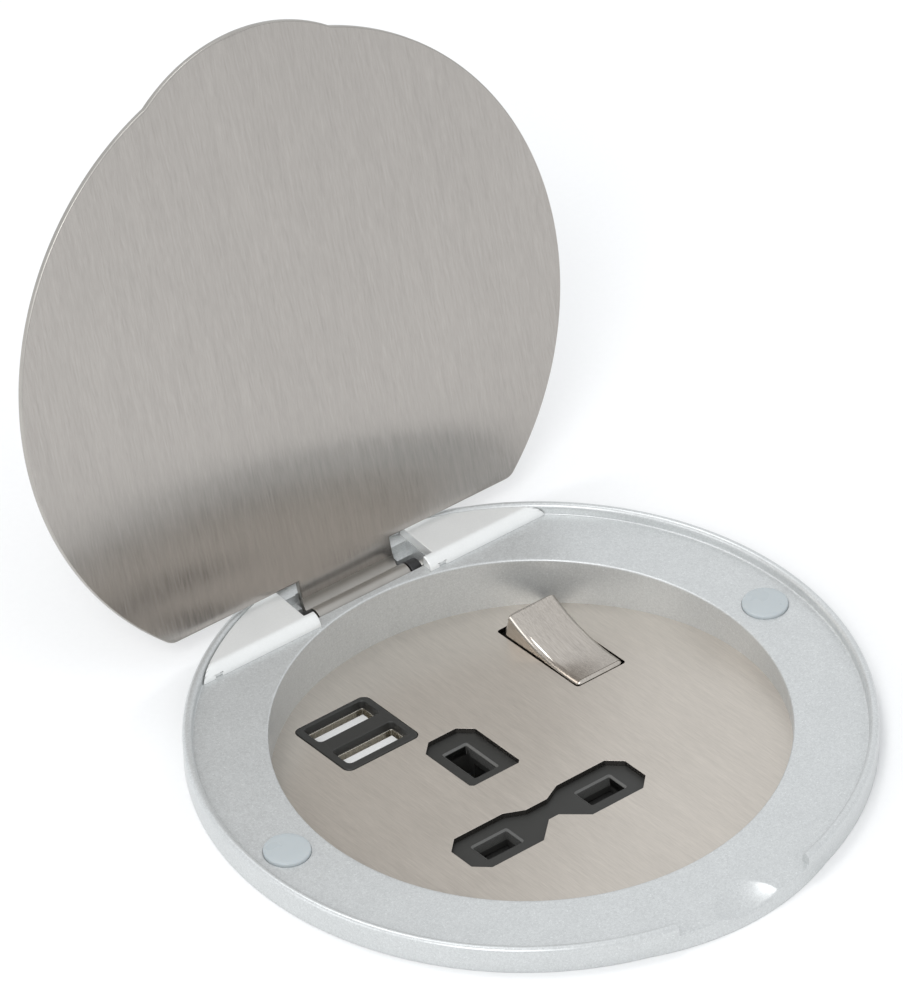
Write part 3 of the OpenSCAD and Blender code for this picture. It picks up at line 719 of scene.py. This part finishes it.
def make_lid():
    """Sheet, and the curl of its tongue down into the knuckle round the pin."""
    ob = slab([lid_outline()], LID_UNDER, TOP, 0.28, 3)
    curl, axis = (CURL_Y, HINGE_Z), (HINGE_Y, HINGE_Z)
    r_in = LID_UNDER - HINGE_Z
    r_out = r_in + LID_T
    out_curl, out_knuckle = crossing(curl, r_out, axis, KNUCKLE_R)
    in_curl, in_knuckle = crossing(curl, r_in, axis, KNUCKLE_R)
    profile = [(TONGUE_END, TOP - OVERLAP)] + arc(*curl, r_out, 90, out_curl, 24)
    profile += arc(*axis, KNUCKLE_R, out_knuckle, in_knuckle - 360, 56)[1:]
    profile += arc(*curl, r_in, in_curl, 90, 20)[1:] + [(TONGUE_END, LID_UNDER + OVERLAP)]
    tongue = sweep_x(profile, -TONGUE_HALF, TONGUE_HALF, 4)
    round_edges(tongue, 0.12, 2, 60)
    cut(tongue, rod(PIVOT, PIN_R + 0.05, 40))
    ob = joined([ob, tongue])
    ob.data.materials.append(MATERIALS["lid_steel"])
    ob.data.materials.append(MATERIALS["lid_edge"])
    for p in ob.data.polygons:
        level = abs(p.normal.z) > 0.9 and p.center.y < 45.0
        p.material_index = 0 if level else 1
    place(ob, "lid_sheet", "lid", LID_OPEN, sharp=45)


def make_hinge():
    bush_x, bush_w = 11.4, 2.2
    place(rod(PIVOT, PIN_R, 32, ends=0.25), "hinge_pin_rod", "hinge_pin")
    bushes = []
    for side in (-1, 1):
        at = (side * bush_x, HINGE_Y, HINGE_Z)
        body = rod(at, KNUCKLE_R, bush_w, ends=0.2)
        cut(body, rod(at, PIN_R + 0.02, 4))
        bushes.append(body)
    place(joined(bushes), "hinge_bush_pair", "hinge_bushes")


def make_bumpers():
    """Two low domes, each sunk a little into its pocket."""
    wall_h, corner, sunk, centre, clear = 0.9, 0.35, 0.3, 0.0001, 0.002
    edge = arc(BUMPER_R - corner, wall_h - corner, corner, 0, 75, 6)
    dome = [(r, wall_h + rise) for r, rise in ((3.2, 0.02), (2.2, 0.07), (1.1, 0.1), (centre, 0.11))]
    profile = [(centre, 0), (BUMPER_R, 0)] + edge + dome
    pads = [lathe(profile, 128, (x, 0, SEAT - sunk + clear)) for x in (-BUMPER_X, BUMPER_X)]
    place(joined(pads), "lid_bumper_pair", "lid_bumpers")


# ---------------------------------------------------------------- plate, socket and charger

# Cut-out for the charger and, slightly different above and below, for the rocker
USB_HOLE = (USB_X, USB_T, 15.85, 16.6, 1.5)
ROCKER_HOLE = (ROCKER_X, ROCKER_T, 10.8, 23.3, 0.6)
ROCKER_WELL = (ROCKER_X, ROCKER_T, 11.2, 24, 0.6)


def earth_outline():
    """Cut-out round the earth slot: a tall block with cut corners."""
    x, y = SOCKET_X + 0.1, 7.37
    a, b, cut_top, cut_low = 5.37, 7.77, 2.4, 0.57
    pts = [(-a, -b + cut_low), (-a + cut_low, -b), (a - cut_low, -b), (a, -b + cut_low),
           (a, b - cut_top), (a - cut_top, b), (-a + cut_top, b), (-a, b - cut_top)]
    return softened([(x + u, y + v) for u, v in pts], 0.25, 2)


def row_outline():
    """Cut-out round the live and neutral slots: two blocks joined by a narrow waist."""
    x, y = SOCKET_X - 0.2, ROW_T - 0.34
    right = [(1.05, -1.34), (5.25, -5.39), (16.2, -5.39), (18.7, -2.85), (18.7, 2.85), (16.2, 5.39),
             (5.8, 5.39), (2.25, 3.5)]
    pts = right + [(-u, v) for u, v in right[::-1]]
    return softened([(x + u, y + v) for u, v in pts], 0.25, 2)


def slot(cx, cy, sx, sy):
    return round_rect(cx, cy, sx, sy, 0.12, 2)


def make_plate():
    disc = arc(0, 0, PLATE_R, 0, 359, 359)
    holes = [earth_outline(), row_outline(), round_rect(*USB_HOLE), round_rect(*ROCKER_HOLE)]
    plate = slab([disc] + holes, -1.0, 0.0, 0.06, 2)
    # the plate's walls and rounded edges get the dark copy of the steel: painted shade
    paint_edge_light(plate, "plate_steel", "plate_edge_painted_shade", 0.5)
    place(plate, "face_plate_sheet", "face_plate", PLATE)


def make_socket():
    """Visible face of the socket moulding, and under it the CAD node's own shape."""
    disc = arc(0, 0, PLATE_R, 0, 359, 359)
    wells = [round_rect(*USB_HOLE), round_rect(*ROCKER_WELL)]
    slots = [slot(SOCKET_X + PITCH / 2, ROW_T, 7.05, 4.35), slot(SOCKET_X - PITCH / 2, ROW_T, 7.05, 4.35),
             slot(SOCKET_X, EARTH_T, 4.6, 8.7)]
    top = slab([disc] + slots + wells, -3.45, -1.02, 0.4, 0)
    # the chamfers and slot walls of the black face get the lighter copy: painted highlight
    paint_edge_light(top, "insert_black", "insert_edge_painted_highlight", 0.9)
    place(top, "socket_front_face", "socket_front", PLATE, sharp=30)
    under = (PLATE @ Vector((0, 0, -1.35)), PLATE.to_3x3() @ Vector((0, 0, 1)))
    place(cad_copy("socket_front", plane=under), "socket_front_body", "socket_front", sharp=30)


def make_rocker():
    """Cap with a hollow top, swept across its width."""
    top_z, top_half, foot_half, foot_z, dip, half_w = 7.2, 10.2, 11.3, -2.0, 1.6, 5.15
    hollow_r = (top_half ** 2 + dip ** 2) / (2 * dip)
    half = math.degrees(math.asin(top_half / hollow_r))
    hollow = arc(0, top_z + hollow_r - dip, hollow_r, -90 - half, -90 + half, 30)
    profile = [(-foot_half, foot_z)] + hollow + [(foot_half, foot_z)]
    body = sweep_x(profile, -half_w, half_w)
    round_edges(body, 1.1, 6, 40)
    place(body, "rocker_cap", "rocker_switch", ROCKER, sharp=80)


def make_charger():
    port_pitch, deep, tongue_top = 8.55, -14.45, -1.8
    ports = [(USB_X + 0.1, USB_T + 0.4 + side * port_pitch / 2) for side in (-1, 1)]
    mouths = [round_rect(x, t, 12.9, 5.15, 0.9) for x, t in ports]
    outline = round_rect(USB_X, USB_T, 15.6, 16.35, 1.4)
    place(slab([outline] + mouths, -1.6, 0.15, 0.22, 3), "usb_frame", "usb_bezel", PLATE, sharp=60)
    shells, tongues = [], []
    for x, t in ports:
        walls = [round_rect(x, t, 13.0, 5.35, 0.7), round_rect(x, t, 12.4, 4.75, 0.4)]
        shells.append(slab(walls, deep, -1.45, 0.08, 2))
        half_w, mid_t, half_t = 5.55, t + 0.5, 0.92
        bar = box((x - half_w, mid_t - half_t, deep + 0.05), (x + half_w, mid_t + half_t, tongue_top))
        round_edges(bar, 0.25, 3)
        tongues.append(bar)
    place(joined(shells), "usb_shell_pair", "usb_shells", PLATE)
    place(joined(tongues), "usb_tongue_pair", "usb_tongues", PLATE)


# ---------------------------------------------------------------- build

make_camera()
MATERIALS = make_materials()
floor = make_floor()
floor.data.materials.append(floor_paper("floor_paper"))
make_light()

make_ring()
make_cover(-1)
make_cover(1)
make_lid()
make_hinge()
make_bumpers()
make_plate()
make_socket()
make_rocker()
make_charger()

# CAD nodes whose own shape is kept with softened edges, and those made afresh above
ROUNDED = {"shutter": 0.12, "base_cover": 0.4, "locking_ring": 0.4, "cable_gland": 0.3, "gland_nut": 0.3}
MADE = ("bezel_ring", "hinge_cover_left", "hinge_cover_right", "lid", "hinge_pin", "hinge_bushes",
        "lid_bumpers", "face_plate", "socket_front", "rocker_switch", "usb_bezel", "usb_shells",
        "usb_tongues")
for name in NODES:
    if name in ROUNDED:
        place(cad_copy(name, ROUNDED[name]), name + "_piece", name)
    elif name not in MADE:
        dress(name)
